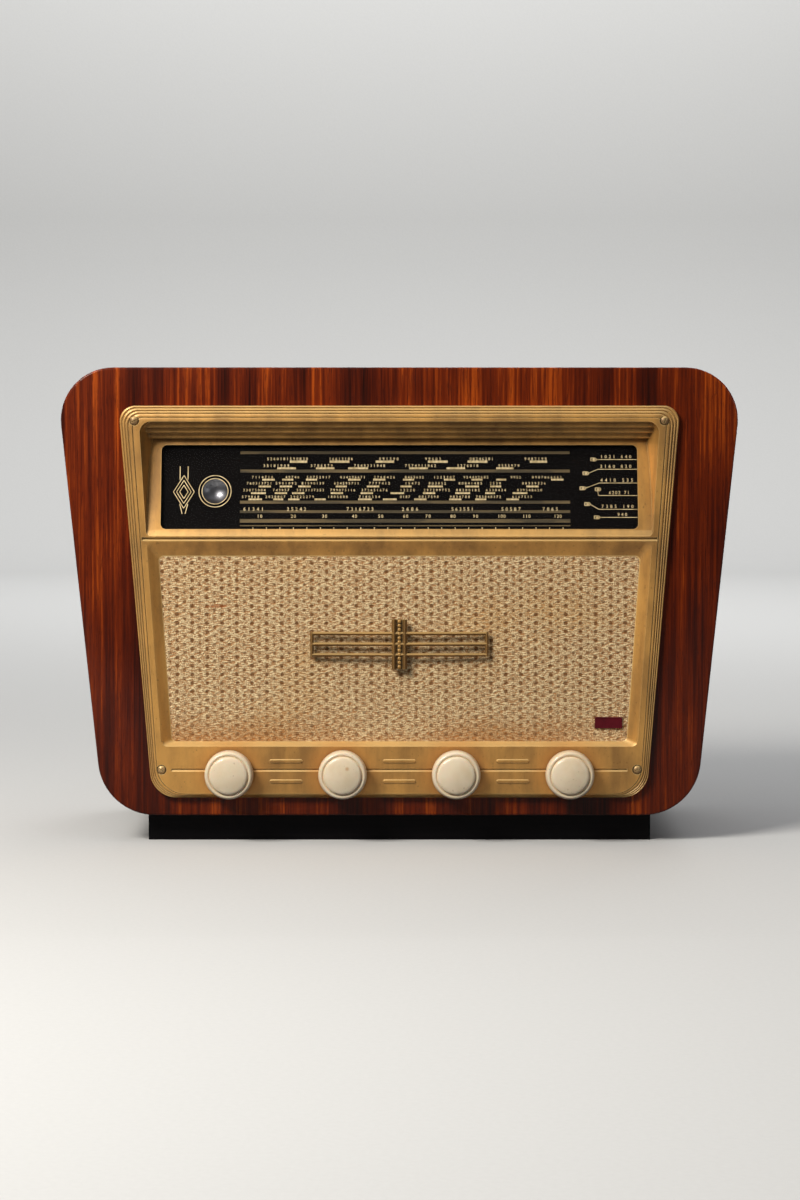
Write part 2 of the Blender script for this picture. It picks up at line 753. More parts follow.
# %% [markdown]
# The gilt frame is the face of the set. From its outer edge inwards it has three fine
# reeds, a rounded band, a narrow groove and a flat rim. The rim borders two openings: above,
# a deep recess whose hood steps down and back to the glass, and below, a hollow cove round
# the cloth. The reeded band is lofted from the outer outline to the rim's outline, and its
# section is a list of distances and depths. The openings are cut out of that block.

# %% Reeded block of the frame
RIM_Y = -7.0


def band(share, y):
    """The outline at a share of the way from the frame's outer edge to its rim."""
    return loop_at(blend(BEZEL, RIM, share), 21 + 2 * share, 12.5 - 4 * share, y)


section = [(0.0, 0.0), (0.0, -2.4)]
for reed in range(3):
    for along, height in [(0.01, -3.3), (0.045, -4.2), (0.105, -4.6), (0.165, -4.35), (0.215, -3.75)]:
        section.append((along + reed * 0.23, height - 0.65 * reed))
section += [(0.70, -5.2), (0.73, -6.0), (0.80, -6.45), (0.88, -6.55), (0.955, -6.5), (0.975, -6.1),
            (0.985, -5.6), (1.01, -5.6), (1.02, -6.4), (1.04, -6.85), (1.07, RIM_Y)]
bm = bmesh.new()
add_loft(bm, [band(share, y) for share, y in section])
bezel = finish_mesh("gilt_frame", bm, replaces=["bezel"])
print("loops in the reeded band:", len(section))

# %% [markdown]
# Behind its rim the frame reaches into the cabinet: a low lining all round the opening in
# the wood, and a deeper box round the dial. They are plain slabs, joined with the block.
# Then each opening is cut with a solid of its own shape. The hood's cutter is the side view
# of the air in front of the glass, pushed across the set, and narrowed towards the back.

# %% Lining, dial box and recess
DIAL_LOW, DIAL_HIGH = 247.5, 338.5
DIAL = opening(DIAL_LOW, DIAL_HIGH, 5.2)
GRILLE = opening(79, 243, 5.2)
FOLD_Y = -4.0
FOLD_Z = 252.5
TILT = math.radians(14)
HOOD_STEPS = 4
HOOD_DROP = 17.5
HOOD_RISER = HOOD_DROP / HOOD_STEPS
HOOD_DEPTH = FOLD_Y - RIM_Y + (DIAL_HIGH - HOOD_DROP - FOLD_Z) * math.tan(TILT)
HOOD_TREAD = HOOD_DEPTH / HOOD_STEPS


def on_dial(x, n, s):
    """A point of the leaning dial: n goes into the set and s up the slope of the glass."""
    return place(
        x,
        FOLD_Y + n * math.cos(TILT) + s * math.sin(TILT),
        FOLD_Z - n * math.sin(TILT) + s * math.cos(TILT),
    )


def dial_loop(quad, radius, n):
    return [on_dial(x, n, s) for x, s in outline(quad, radius, radius)]


lining = inset(WINDOW, 0.5)
box_quad = [half_at(WINDOW, 245) - 0.5, half_at(WINDOW, 340.5) - 0.5, 245, 340.5]
for quad, depth in ((lining, 0.8), (box_quad, HOOD_DEPTH - 2)):
    cut(bezel, solid(add_slab, outline(quad, 6, 11), -1, depth), operation="UNION")

side_view = [(RIM_Y - 2, DIAL_LOW), (RIM_Y, DIAL_LOW), (RIM_Y + 0.5, 247.9), (FOLD_Y, FOLD_Z)]
for i in range(HOOD_STEPS - 1, -1, -1):
    z = DIAL_HIGH - i * HOOD_RISER
    slope_y = FOLD_Y + (z - FOLD_Z) * math.tan(TILT)
    tread_y = slope_y if i == HOOD_STEPS - 1 else RIM_Y + (i + 1) * HOOD_TREAD
    side_view += [(tread_y, z), (RIM_Y + i * HOOD_TREAD + 0.9, z), (RIM_Y + i * HOOD_TREAD, z + 0.8)]
side_view.append((RIM_Y - 2, 339.3))
recess = solid(add_loft, [[place(x, y, z) for y, z in side_view] for x in (-300, 300)])
back_quad = [DIAL[0] - 2, DIAL[1] - 10.5, DIAL_LOW, DIAL_HIGH]
taper = []
for step in range(9):
    share = step / 8
    quad = inset(blend(DIAL, back_quad, share), -0.5)
    taper.append(loop_at(quad, 5, 9, RIM_Y - 2 + (HOOD_DEPTH + 4) * share))
cut(recess, solid(add_loft, taper), operation="INTERSECT")
cut(bezel, recess)
print("after the recess:", len(bezel.data.polygons), "faces")

# %% [markdown]
# The window for the glass goes through the flange at the back of the recess, and the glass
# sits in a pocket behind it. Both are cut in the dial's own leaning frame. Below, the cove
# round the cloth is slightly hollow like a picture frame's, so its cutter is lofted along a
# curve that lies between a plain slope and a quarter circle.

# %% Window, glass pocket and cove
SHOWN = [191, 191, 0.6, 69.6]
GLASS = [196, 196, -4.4, 74.6]
window_cut = solid(add_loft, [dial_loop(SHOWN, 4.5, n) for n in (-1, 2.6)])
pocket_cut = solid(add_loft, [dial_loop(inset(GLASS, -0.5), 1, n) for n in (1.6, 60)])
cut(bezel, window_cut, pocket_cut)

CLOTH = [half_at(GRILLE, 82) - 8, half_at(GRILLE, 231) - 8, 82, 231]
cove = [loop_at(inset(GRILLE, -0.4), 5, 5, RIM_Y - before) for before in (1, 0.01)]
for step in range(1, 9):
    share = step / 8
    depth = 0.72 * share + 0.28 * math.sin(share * math.pi / 2)
    quad = blend(GRILLE, CLOTH, share)
    cove.append(loop_at(quad, 5 - share, 5 - share, RIM_Y + 7.81 * depth))
cove.append(loop_at(CLOTH, 4, 4, 2))
cut(bezel, solid(add_loft, cove))
print("openings cut:", len(bezel.data.polygons), "faces")

# %% [markdown]
# The small marks come last: a groove under the dial's ledge, a long groove that links the
# four knobs, seats for the four screws, and holes for the spindles. The pairs of short
# bars between the knobs stand proud, so they are joined on instead.

# %% Grooves, seats and raised bars
SCREWS = [(side * x, z) for side in (-1, 1) for x, z in ((211.3, 339.5), (191.0, 59.8))]
BAR_ROWS = (50.5, 66.8)


def add_bar(bm, x, z, half_length, half_height, y0, y1, top):
    """A bar with round ends, from y0 to y1, whose front face is smaller by top."""
    loops = []
    for less, y in ((0, y0), (0, y1 + top), (top, y1)):
        radius = half_height - less
        loops.append([
            place(
                x + math.copysign(half_length - half_height, math.cos(a)) + radius * math.cos(a),
                y,
                z + radius * math.sin(a),
            )
            for a in (2 * math.pi * (i + 0.5) / 24 for i in range(24))
        ])
    add_loft(bm, loops)


bm = bmesh.new()
for i in (-1, 0, 1):
    for z in BAR_ROWS:
        add_bar(bm, i * KNOB_PITCH, z, 13.2, 1.5, RIM_Y + 1, RIM_Y - 0.9, 0.55)
cut(bezel, cutter(bm), operation="UNION")

half_ridge = half_at(RIM, 246) - 1
grooves = {
    183: [(RIM_Y - 1, 61.6), (RIM_Y + 1.3, 59.9), (RIM_Y - 1, 57.2)],
    half_ridge: [(RIM_Y - 1, 246.9), (RIM_Y + 1.8, 246.2), (RIM_Y + 1.8, 244.9), (RIM_Y - 1, 243.1)],
}
bm = bmesh.new()
for half, side_view in grooves.items():
    add_loft(bm, [[place(x, y, z) for y, z in side_view] for x in (-half, half)])
cut(bezel, cutter(bm))

bm = bmesh.new()
for x in KNOB_XS:
    add_turned(bm, x, KNOB_Z, pin(5, -9, 2), 32)
for x, z in SCREWS:
    seat = [(0, -9), (4.1, -9), (4.1, -6.9), (3.7, -5.5), (1.85, -5.5), (1.85, 2), (0, 2)]
    add_turned(bm, x, z, seat, 32)
cut(bezel, cutter(bm))
sharpen(bezel, 28)
round_edges(bezel, 0.22, 2, 32)
gilt_lacquer.on(bezel)
print("gilt frame:", len(bezel.data.polygons), "faces")

# %% [markdown]
# The dial is a sheet of glass, painted black on its back and printed in dull gilt. Through
# unpainted strips a tan film shows, and behind it slides the red pointer. Here the pane is
# clear glass, and the paint is a very thin mask just behind it. The strips and the round
# window of the tuning eye are cut out of the mask, so what lies behind is truly behind.

# %% Pane and black mask
bm = bmesh.new()
add_loft(bm, [dial_loop(inset(GLASS, step), 1, n)
              for step, n in ((0.4, 1.65), (0.05, 2.0), (0.05, 4.1), (0.4, 4.4))])
pane = finish_mesh("dial_pane_clear", bm, replaces=["dial_glass"])
dial_pane.on(pane)

PAINT_N = 4.5
EYE_X, EYE_S = -148, 32.5
STRIP_X0, STRIP_X1 = -128, 137
STRIPS = [(3.9, 4.9), (6.8, 9.9), (14.7, 17.1), (22.4, 24.9), (47.9, 50.5), (63.1, 65.5)]


def box_on_dial(bm, x0, x1, s0, s1, n0, n1):
    """A block whose sides follow the leaning glass."""
    corners = [(x0, s0), (x1, s0), (x1, s1), (x0, s1)]
    add_loft(bm, [[on_dial(x, n, s) for x, s in corners] for n in (n0, n1)])


bm = bmesh.new()
box_on_dial(bm, -196.4, 196.4, GLASS[2] - 0.4, GLASS[3] + 0.4, PAINT_N, PAINT_N + 0.05)
mask = finish_mesh("dial_paint", bm)
bm = bmesh.new()
for low, high in STRIPS:
    box_on_dial(bm, STRIP_X0, STRIP_X1, low, high, PAINT_N - 1, PAINT_N + 1)
add_turned(bm, EYE_X, EYE_S, pin(10.1, PAINT_N - 1, PAINT_N + 1), put=on_dial)
cut(mask, cutter(bm))
black_paint = clouded("black_paint", 35, rgb(10, 8, 8), rgb(18, 15, 14), 0.12, 0.12,
                      Specular_IOR_Level=0.2)
black_paint.on(mask)
print("mask faces:", len(mask.data.polygons), "strips:", len(STRIPS))

# %% [markdown]
# The tan film is one sheet behind all the strips. It has aged in patches, so its colour
# steps along the dial. The steps come from a noise that changes slowly along a strip and
# fast from strip to strip, pressed into a few levels. The film lets a little light
# through, as tracing paper does.

# %% Film behind the strips
bm = bmesh.new()
box_on_dial(bm, STRIP_X0 - 3, STRIP_X1 + 3, 1.0, 68.0, PAINT_N + 0.25, PAINT_N + 0.35)
film = finish_mesh("dial_film", bm)
tan_film = Finish("tan_film", Specular_IOR_Level=0.1)
steps = tan_film.noise(tan_film.stretch(16, 0.0, 130), 1.0, 2)
grain_of_film = tan_film.noise(tan_film.place(), 700, 3)
aged = steps.between(0.44, 0.50) * 0.6 + steps.between(0.56, 0.6) * 0.4
film_tone = tan_film.mix(aged, rgb(86, 77, 60), rgb(128, 110, 78))
tan_film.set("Base_Color", tan_film.mix(grain_of_film * 0.4, film_tone, rgb(74, 66, 52)))
tan_film.set("Roughness", 0.6 + 0.2 * grain_of_film)
tan_film.set("Alpha", 0.93 + 0.05 * steps)
tan_film.on(film)
print("film nodes:", len(tan_film.tree.nodes))

# %% [markdown]
# The print is flat ink on the back of the glass, so it is a mesh of flat faces a hair in
# front of the paint. Digits come from Blender's own font: each digit is turned into faces
# once, then stamped wherever it is needed. The print is rows of plain numbers with rows of
# short hatched blocks between them.

# %% Ink: digits, bars and blocks
INK_N = 4.46


def digit_shapes():
    """Each character as a list of flat polygons, one unit high, and its width."""
    shapes = {}
    for character in "0123456789":
        text = bpy.data.curves.new("digit", "FONT")
        text.body = character
        text.resolution_u = 2
        holder = link_new("digit", text)
        bpy.context.view_layer.update()
        depsgraph = bpy.context.evaluated_depsgraph_get()
        mesh = bpy.data.meshes.new_from_object(holder.evaluated_get(depsgraph))
        points = [vertex.co.copy() for vertex in mesh.vertices]
        low = min(p.x for p in points), min(p.y for p in points)
        high = max(p.x for p in points), max(p.y for p in points)
        height = high[1] - low[1]
        shapes[character] = (
            [[((points[i].x - low[0]) / height, (points[i].y - low[1]) / height)
              for i in face.vertices] for face in mesh.polygons],
            (high[0] - low[0]) / height,
        )
        bpy.data.objects.remove(holder)
        bpy.data.curves.remove(text)
        bpy.data.meshes.remove(mesh)
    return shapes


DIGITS = digit_shapes()
ink = bmesh.new()


def ink_face(corners):
    ink.faces.new([ink.verts.new(on_dial(x, INK_N, s)) for x, s in corners])


def ink_number(number, x0, x1, s, height):
    """Spreads the digits of a number evenly from x0 to x1, with their feet at s."""
    word = str(number)
    pitch = (x1 - x0) / len(word)
    squeeze = min(1.0, pitch * 0.86 / (0.64 * height))
    for i, character in enumerate(word):
        faces, width = DIGITS[character]
        left = x0 + (i + 0.5) * pitch - width * height * squeeze / 2
        for face in faces:
            ink_face([(left + px * height * squeeze, s + py * height) for px, py in face])


def ink_bar(x0, x1, s0, s1):
    ink_face([(x0, s0), (x1, s0), (x1, s1), (x0, s1)])


def ink_block(x0, x1, s, height):
    """A short block hatched with upright strokes."""
    count = max(3, round((x1 - x0) / 1.1))
    step = (x1 - x0) / count
    for i in range(count):
        ink_bar(x0 + i * step, x0 + (i + 0.72) * step, s, s + height)


def ink_line(points, width):
    """A thin line through points."""
    for (x0, s0), (x1, s1) in zip(points, points[1:]):
        length = math.hypot(x1 - x0, s1 - s0)
        across = (s0 - s1) / length * width / 2, (x1 - x0) / length * width / 2
        ink_face([(x0 - across[0], s0 - across[1]), (x1 - across[0], s1 - across[1]),
                  (x1 + across[0], s1 + across[1]), (x0 + across[0], s0 + across[1])])


def ink_ring(x, s, radius, width, sides=48):
    """A ring of short straight pieces."""
    for i in range(sides):
        a, b = (2 * math.pi * (i + k) / sides for k in (0, 1))
        ink_face([(x + r * math.cos(t), s + r * math.sin(t)) for r, t in (
            (radius, a), (radius, b), (radius - width, b), (radius - width, a))])


print("digits ready, widths:", {k: round(v[1], 2) for k, v in DIGITS.items()})

# %% [markdown]
# The rows of the dial are laid out as on the real one: under each row of numbers sits a row
# of hatched blocks, and the columns lean to the left. Each row is its height and a list of
# places and widths. The numbers themselves are made up by a seeded generator, so every run
# prints the same dial.

# %% Rows of numbers and blocks
number_rows = [
    (58.0, 2.3, [(-107, 34), (-57, 20), (-17, 17), (20, 14), (56, 20), (100, 19)]),
    (52.4, 2.3, [(-110, 22), (-72, 19), (-37, 26), (4, 26), (46, 18), (79, 18)]),
    (43.0, 2.1, [(-119, 18), (-92, 12), (-75, 20), (-48, 21), (-21, 18), (4, 16), (27, 18), (51, 21),
                 (89, 9), (106, 25)]),
    (38.0, 2.1, [(-123, 21), (-100, 18), (-79, 19), (-53, 21), (-25, 18), (4, 13), (23, 15), (47, 20),
                 (72, 10), (98, 20)]),
    (32.4, 2.1, [(-126, 19), (-102, 14), (-83, 23), (-56, 21), (-31, 22), (0, 13), (19, 22), (45, 20),
                 (69, 17), (94, 21)]),
    (26.9, 2.1, [(-127, 15), (-108, 17), (-88, 20), (-58, 17), (-33, 18), (0, 9), (15, 17), (40, 17),
                 (61, 21), (90, 17)]),
    (16.4, 2.9, [(-126, 18), (-91, 17), (-43, 23), (1, 15), (41, 19), (81, 17), (114, 14)]),
]
block_rows = [
    (55.9, 1.9, [(-88, 14), (-56, 16), (-19, 15), (23, 16), (55, 16), (105, 14)]),
    (50.6, 1.6, [(-98, 15), (-67, 15), (-41, 16), (8, 15), (38, 15), (78, 14)]),
    (41.3, 1.5, [(-110, 10), (-94, 9), (-75, 9), (-41, 10), (-21, 10), (3, 9), (36, 9), (58, 9), (78, 8),
                 (122, 10)]),
    (35.7, 1.5, [(-113, 10), (-96, 10), (-81, 10), (-51, 9), (-26, 10), (1, 9), (23, 12), (53, 11),
                 (73, 9), (102, 10)]),
    (30.2, 1.5, [(-119, 12), (-100, 10), (-86, 10), (-55, 10), (-31, 10), (-7, 11), (19, 10), (45, 12),
                 (69, 8), (91, 12)]),
    (25.1, 1.5, [(-121, 11), (-101, 8), (-89, 9), (-68, 9), (-33, 11), (-13, 11), (12, 10), (40, 10),
                 (61, 9), (86, 10)]),
]
dice = random.Random(7)
for s, height, spans in number_rows:
    for x, width in spans:
        count = max(3, round(width / (height * 1.15)))
        number = "".join(dice.choice("0123456789") for _ in range(count))
        ink_number(number, x, x + width, s, height)
for s, height, spans in block_rows:
    for x, width in spans:
        ink_block(x, x + width, s, height)
print("rows printed:", len(number_rows) + len(block_rows))

# %% [markdown]
# Below the rows runs a scale in tens with its ticks. At the right, thin lines start from
# small marks like plugs and carry plain numbers. At the left, two rings lie round the
# tuning eye, beside three lozenges one inside the other. All of it is drawn with the same
# few strokes. A label is the points of its line, where its numbers start and end, and the
# numbers.

# %% Scale, side labels, eye rings and ornament
for number, x in enumerate([-112, -85, -60, -36, -15, 5, 23, 43, 61, 81, 101, 126], 1):
    ink_number(10 * number, x - 2.4, x + 2.4 + (number > 9) * 2, 10.7, 2.7)
for tick in range(24):
    ink_bar(-117.6 + tick * 10.8, -117.0 + tick * 10.8, 0.8, 2.9)

labels = [
    ([(158.1, 58.6), (191, 58.6)], 161.0, 188.2, "1021 640"),
    ([(151.7, 47.2), (159.6, 50.6), (191, 50.6)], 160.6, 188.2, "3160 820"),
    ([(149.2, 35.0), (160.6, 39.3), (191, 39.3)], 160.6, 189.6, "4410 535"),
    ([(159.2, 32.5), (159.9, 29.0), (191, 29.0)], 167.8, 188.2, "6202 71"),
    ([(152.8, 22.0), (159.9, 17.7), (191, 17.7)], 161.3, 189.6, "7385 190"),
    ([(160.3, 11.1), (191, 11.1)], 174.2, 183.2, "940"),
]
for path, x0, x1, words in labels:
    ink_line(path, 0.45)
    for word, share in zip(words.split(), (0.0, 0.6)):
        end = x0 + (x1 - x0) * (share + len(word) / 8 * 0.98 if len(words) > 4 else 1)
        ink_number(word, x0 + (x1 - x0) * share, end, path[-1][1] + 1.0, 2.7)
    x, s = path[0]
    if path is labels[3][0]:  # its line bends down at once, so the plug stands clear of it
        s += 1.6
        x += 2.2
    ink_bar(x - 4.4, x - 0.6, s + 0.9, s + 1.5)
    ink_bar(x - 4.4, x - 0.6, s - 1.5, s - 0.9)
    ink_bar(x - 4.4, x - 3.7, s - 1.5, s + 1.5)
    ink_bar(x - 2.9, x - 0.6, s - 0.5, s + 0.5)
    ink_ring(x - 0.9, s, 1.5, 0.6, 12)

ink_ring(EYE_X, EYE_S, 13.2, 0.55)
ink_ring(EYE_X, EYE_S, 10.7, 0.5)
LOZENGE_X, LOZENGE_S = -173, 32
for radius in (13.5, 9.5, 5.5):
    corners = [(-0.62, 0), (0, 1), (0.62, 0), (0, -1), (-0.62, 0)]
    ink_line([(LOZENGE_X + x * radius, LOZENGE_S + s * radius) for x, s in corners], 0.55)
for side in (-1, 1):
    for x0, s0, x1, s1 in ((3.2, 42, 3.2, 53), (3.2, 22, 1.2, 14)):
        ink_line([(LOZENGE_X + side * x0, s0), (LOZENGE_X + side * x1, s1)], 0.6)

inked = finish_mesh("dial_print", ink)
gilt_ink = Finish("gilt_ink")
worn = gilt_ink.noise(gilt_ink.place(), 180, 4, 0.6)
gilt_ink.set("Base_Color", gilt_ink.mix(worn.between(0.35, 0.7), rgb(255, 230, 176), rgb(210, 184, 130)))
gilt_ink.set("Roughness", 0.45 + 0.2 * worn)
gilt_ink.on(inked)
print("ink faces:", len(inked.data.polygons))

# %% [markdown]
# The tuning eye is a small valve that looks out through the round window. At its end sits a
# shallow metal dish, which mirrors the room as a bright spot on the side away from the
# lamp. The dish and the dark tube behind it are turned shapes, in the leaning frame of the
# dial. The base at the back is part of the tube.

# %% Tuning eye
bm = bmesh.new()
tube = [(0, 9.2), (8.4, 9.3), (10.2, 10.6), (10.95, 14), (11, 20), (11, 61.8), (12, 61.8),
        (12, 77.8), (0, 77.8)]
add_turned(bm, EYE_X, EYE_S, tube, put=on_dial)
eye_tube = finish_mesh("eye_tube", bm, replaces=["magic_eye"])
eye_finish = clouded("eye_tube_finish", 60, rgb(16, 17, 18), rgb(44, 46, 48), 0.12, 0.1,
                     detail=2, Coat_Weight=1.0, Coat_Roughness=0.03)
eye_finish.on(eye_tube)

bm = bmesh.new()
dish = [(10.4, 9.3), (10.4, 5.2), (10.1, 5.0)]
dish += [(r, 5.2 + 3.4 * (1 - (r / 9.8) ** 2)) for r in (9.8, 8.4, 7, 5.6, 4.2, 2.8, 1.4, 0)]
add_turned(bm, EYE_X, EYE_S, [(0, 9.3)] + dish, put=on_dial)
eye_dish = finish_mesh("eye_dish", bm, smooth=50)
dish_metal = clouded("dish_metal", 90, rgb(84, 84, 88), rgb(112, 112, 116), 0.32, 0.1,
                     Coat_Weight=0.6, Coat_Roughness=0.04, Metallic=1.0)
dish_metal.on(eye_dish)
print("tuning eye ready")

# %% [markdown]
# The four knobs are alike: a barrel with a rounded rim, and inside a narrow groove a
# slightly domed disc. They are turned on a lathe here as the mould's core was. The groove
# is only half a millimetre deep, yet it draws the soft ring that makes the knob, so it has
# points of its own in the profile. Each knob has a blind bore for its spindle.

# %% Knobs
knob_profile = [
    (0, -20), (3.0, -20), (3.0, -8.0), (16.6, -8.0), (18.3, -8.35), (19.2, -9.4), (19.5, -11.2),
    (19.5, -14.6), (19.4, -17.0), (19.1, -18.9), (18.6, -20.2), (17.9, -21.0), (17.1, -21.3),
    (16.4, -21.1), (15.9, -20.7), (15.6, -20.5), (15.4, -20.6), (15.25, -21.1), (15.1, -21.8),
    (14.7, -22.5), (13.8, -23.0), (12.0, -23.5), (9.0, -24.1), (5.5, -24.7), (2.5, -24.95), (0, -25.0),
]
for name, x in zip(("volume", "tone", "waveband", "tuning"), KNOB_XS):
    bm = bmesh.new()
    add_turned(bm, x, KNOB_Z, knob_profile, 96)
    knob = finish_mesh(f"knob_{name}_turned", bm, body=f"{name}_knob", replaces=[f"knob_{name}"],
                       smooth=50)
    ivory.on(knob)
print("knobs turned from", len(knob_profile), "points each")

# %% [markdown]
# The cloth is a coarse weave stretched over the loudspeaker's board. Brown gaps sit on a
# lattice, with fainter ones in between, and pale slubby threads curl round them. The
# gaps are real dips in the mesh, and the threads are bump and colour. Both use the same
# lattice: the mesh works it out in Python, and the finish with Math nodes.

# %% Woven cloth
GAP_X, GAP_Z = 12.0, 6.9
GAP_X0, GAP_Z0 = 1.6, 4.8
MARK_X, MARK_Z = -146, 191
BOARD = [half_at(WINDOW, 75.5) - 1.5, half_at(WINDOW, 241) - 1.5, 75.5, 241]


def lattice_distance(x, z):
    """Distance in mm to the nearest gap of the weave."""
    near = 99.0
    for shift in (0.0, 0.5):
        u = (x - GAP_X0) / GAP_X + shift
        v = (z - GAP_Z0) / GAP_Z + shift
        near = min(near, math.hypot((u - round(u)) * GAP_X, (v - round(v)) * GAP_Z))
    return near


bm = bmesh.new()
columns, rows = 300, 120
grid = []
for j in range(rows + 1):
    z = BOARD[2] + (BOARD[3] - BOARD[2]) * j / rows
    half = half_at(BOARD, z)
    line = []
    for i in range(columns + 1):
        x = -half + 2 * half * i / columns
        dip = max(0.0, 1 - lattice_distance(x, z) / 2.2)
        line.append(bm.verts.new(place(x, 0.86 + 0.2 * dip * dip * (3 - 2 * dip), z)))
    grid.append(line)
for low, high in zip(grid, grid[1:]):
    for i in range(columns):
        bm.faces.new((low[i], low[i + 1], high[i + 1], high[i]))
cloth = finish_mesh("grille_cloth_woven", bm, replaces=["grille_cloth"], smooth=80)
flat_w, flat_h = 2 * BOARD[1] * MM, (BOARD[3] - BOARD[2]) * MM
(BOARD[0] + BOARD[1]) * MM * flat_h
print("cloth", round(flat_w, 4), "x", round(flat_h, 4), "m,", len(cloth.data.polygons), "faces")

# %% Cloth finish
weave = Finish("woven_cloth", Roughness=0.95, Sheen_Weight=0.15, Specular_IOR_Level=0.15)
spot = weave.place()
wander = weave.noise(spot, 120, 2)
sway = weave.noise(weave.stretch(1, 1, 1, turn=(0, 0, 1.2)), 140, 2)
x_mm = spot.part(0) * 1000 + (wander - 0.5) * 1.8
z_mm = spot.part(2) * 1000 + (sway - 0.5) * 1.4


def gap_distance(shift):
    across = ((x_mm - GAP_X0) / GAP_X + shift).math("ROUND")
    up = ((z_mm - GAP_Z0) / GAP_Z + shift).math("ROUND")
    dx = x_mm - GAP_X0 - (across - shift) * GAP_X
    dz = z_mm - GAP_Z0 - (up - shift) * GAP_Z
    return dx.hypot(dz)


strong = 1 - gap_distance(0.0).between(0.9, 2.3)
faint = 1 - gap_distance(0.5).between(0.6, 1.9)
tight = 0.74 + 0.26 * spot.part(2).between(0.09, 0.14)
gap = strong.math("MAXIMUM", faint * 0.85) * tight
slubs = weave.noise(weave.stretch(280, 1, 1180, turn=(0, -0.45, 0)), 1.0, 2, 0.5)
picks = weave.noise(weave.stretch(1200, 1, 540, turn=(0, 0.2, 0)), 1.0, 2, 0.6)
stain = weave.noise(weave.stretch(9, 1, 14), 1.0, 3)
thread = (slubs * 0.6 + picks * 0.4).between(0.4, 0.6)
tone = weave.mix(thread, rgb(184, 131, 82), rgb(255, 230, 180))
tone = weave.mix(stain.between(0.5, 0.75) * 0.35, tone, rgb(222, 168, 96))
low_edge = (1 - spot.part(2).between(0.082, 0.112)) * stain.between(0.35, 0.6)
tone = weave.mix(low_edge * 0.55, tone, rgb(176, 112, 50))
tone = weave.mix(gap * 0.9, tone, rgb(122, 76, 34))
along, above = (x_mm - MARK_X) * 0.18, z_mm - MARK_Z
mark = 1 - (along.math("POWER", 2) + above.math("POWER", 2)).between(1, 4)
weave.set("Base_Color", weave.mix(mark * 0.55, tone, rgb(176, 92, 38)))
weave.bump(thread - gap * 0.4, 0.0005)
weave.on(cloth)
print("weave nodes:", len(weave.tree.nodes))

# %% [markdown]
# The emblem on the cloth is cast brass that has darkened: a long frame with a middle bar,
# bowed outwards a little, crossed by a pair of upright bars with a row of beads between
# them. Each bar is lofted along its length from one small section with a ridge like a roof,
# so that one slope of every bar is lit and the other is dark. Two studs behind hold it.

# %% Emblem
EMBLEM_Z = 160.7
BEADS = 12


def bar_section(half, depth):
    """Half of a ridged bar's section as (across, out) points, and its mirror."""
    one = [(half, 0), (half, depth * 0.35), (half * 0.9, depth * 0.5), (half * 0.12, depth)]
    return one + [(-a, o) for a, o in reversed(one)]


def add_run(bm, x0, z0, x1, z1, half, depth, back_y, bow=0.0, steps=14):
    """A bar from one place to another. bow lets its middle stand forward."""
    loops = []
    length = math.hypot(x1 - x0, z1 - z0)
    side = (-(z1 - z0) / length, (x1 - x0) / length)
    for i in range(steps + 1):
        share = i / steps
        x, z = x0 + (x1 - x0) * share, z0 + (z1 - z0) * share
        lift = bow * (1 - (x / 71.5) ** 2)
        loops.append([
            place(x + side[0] * a, back_y - lift - out, z + side[1] * a)
            for a, out in bar_section(half, depth)
        ])
    add_loft(bm, loops)


bm = bmesh.new()
for rise in (-8.6, 0, 8.6):
    add_run(bm, -70.5, EMBLEM_Z + rise, 70.5, EMBLEM_Z + rise, 1.4, 2.2, -2.2, bow=1.2)
for side in (-1, 1):
    add_run(bm, side * 70.1, EMBLEM_Z - 10, side * 70.1, EMBLEM_Z + 10, 1.4, 2.2, -2.2)
    add_run(bm, side * 4.34, EMBLEM_Z - 20, side * 4.34, EMBLEM_Z + 20, 1.82, 3.0, -3.2)
    add_turned(bm, side * 60, EMBLEM_Z, pin(0.8, -2.4, 0.8), 16)
add_run(bm, 0, EMBLEM_Z + 20, 0, EMBLEM_Z - 20, 2.6, 0.6, -3.4)
emblem = finish_mesh("emblem_cast", bm, replaces=["emblem"])
gilt_brass.on(emblem)

bm = bmesh.new()
for i in range(BEADS):
    z = EMBLEM_Z + (i - (BEADS - 1) / 2) * 3.3
    bead = [(0, -5.7), (0.8, -5.6), (1.4, -5.2), (1.65, -4.6), (1.65, -3.9), (0, -3.9)]
    add_turned(bm, 0, z, bead, 16)
beads = finish_mesh("emblem_beads", bm, smooth=60)
bead_brass = gilt("bead_brass", rgb(178, 134, 66), rgb(130, 94, 44), rgb(52, 34, 14), 0.36, 0.3,
                  top_shine=0.3)
bead_brass.on(beads)
print("emblem faces:", len(emblem.data.polygons), "beads:", BEADS)

# %% [markdown]
# The small plate at the lower right of the cloth is thin maroon metal, plain, with a raised
# rim, so it gets a lofted border and a flat field. The four screws of the frame have domed
# heads with a slot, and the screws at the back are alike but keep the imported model's mesh.

# %% Name plate and screws
PLATE = [157.2, 179.2, 92.6, 101.6]
bm = bmesh.new()


def plate_loop(step, y):
    x0, x1, z0, z1 = PLATE[0] + step, PLATE[1] - step, PLATE[2] + step, PLATE[3] - step
    return [place(x, y, z) for x, z in ((x0, z0), (x1, z0), (x1, z1), (x0, z1))]


add_loft(bm, [plate_loop(*step) for step in (
    (0, 0.8), (0, -0.4), (0.25, -0.7), (0.7, -0.7), (0.9, -0.45))])
plate = finish_mesh("name_plate_bare", bm, replaces=["name_plate"])
maroon_plate.on(plate)

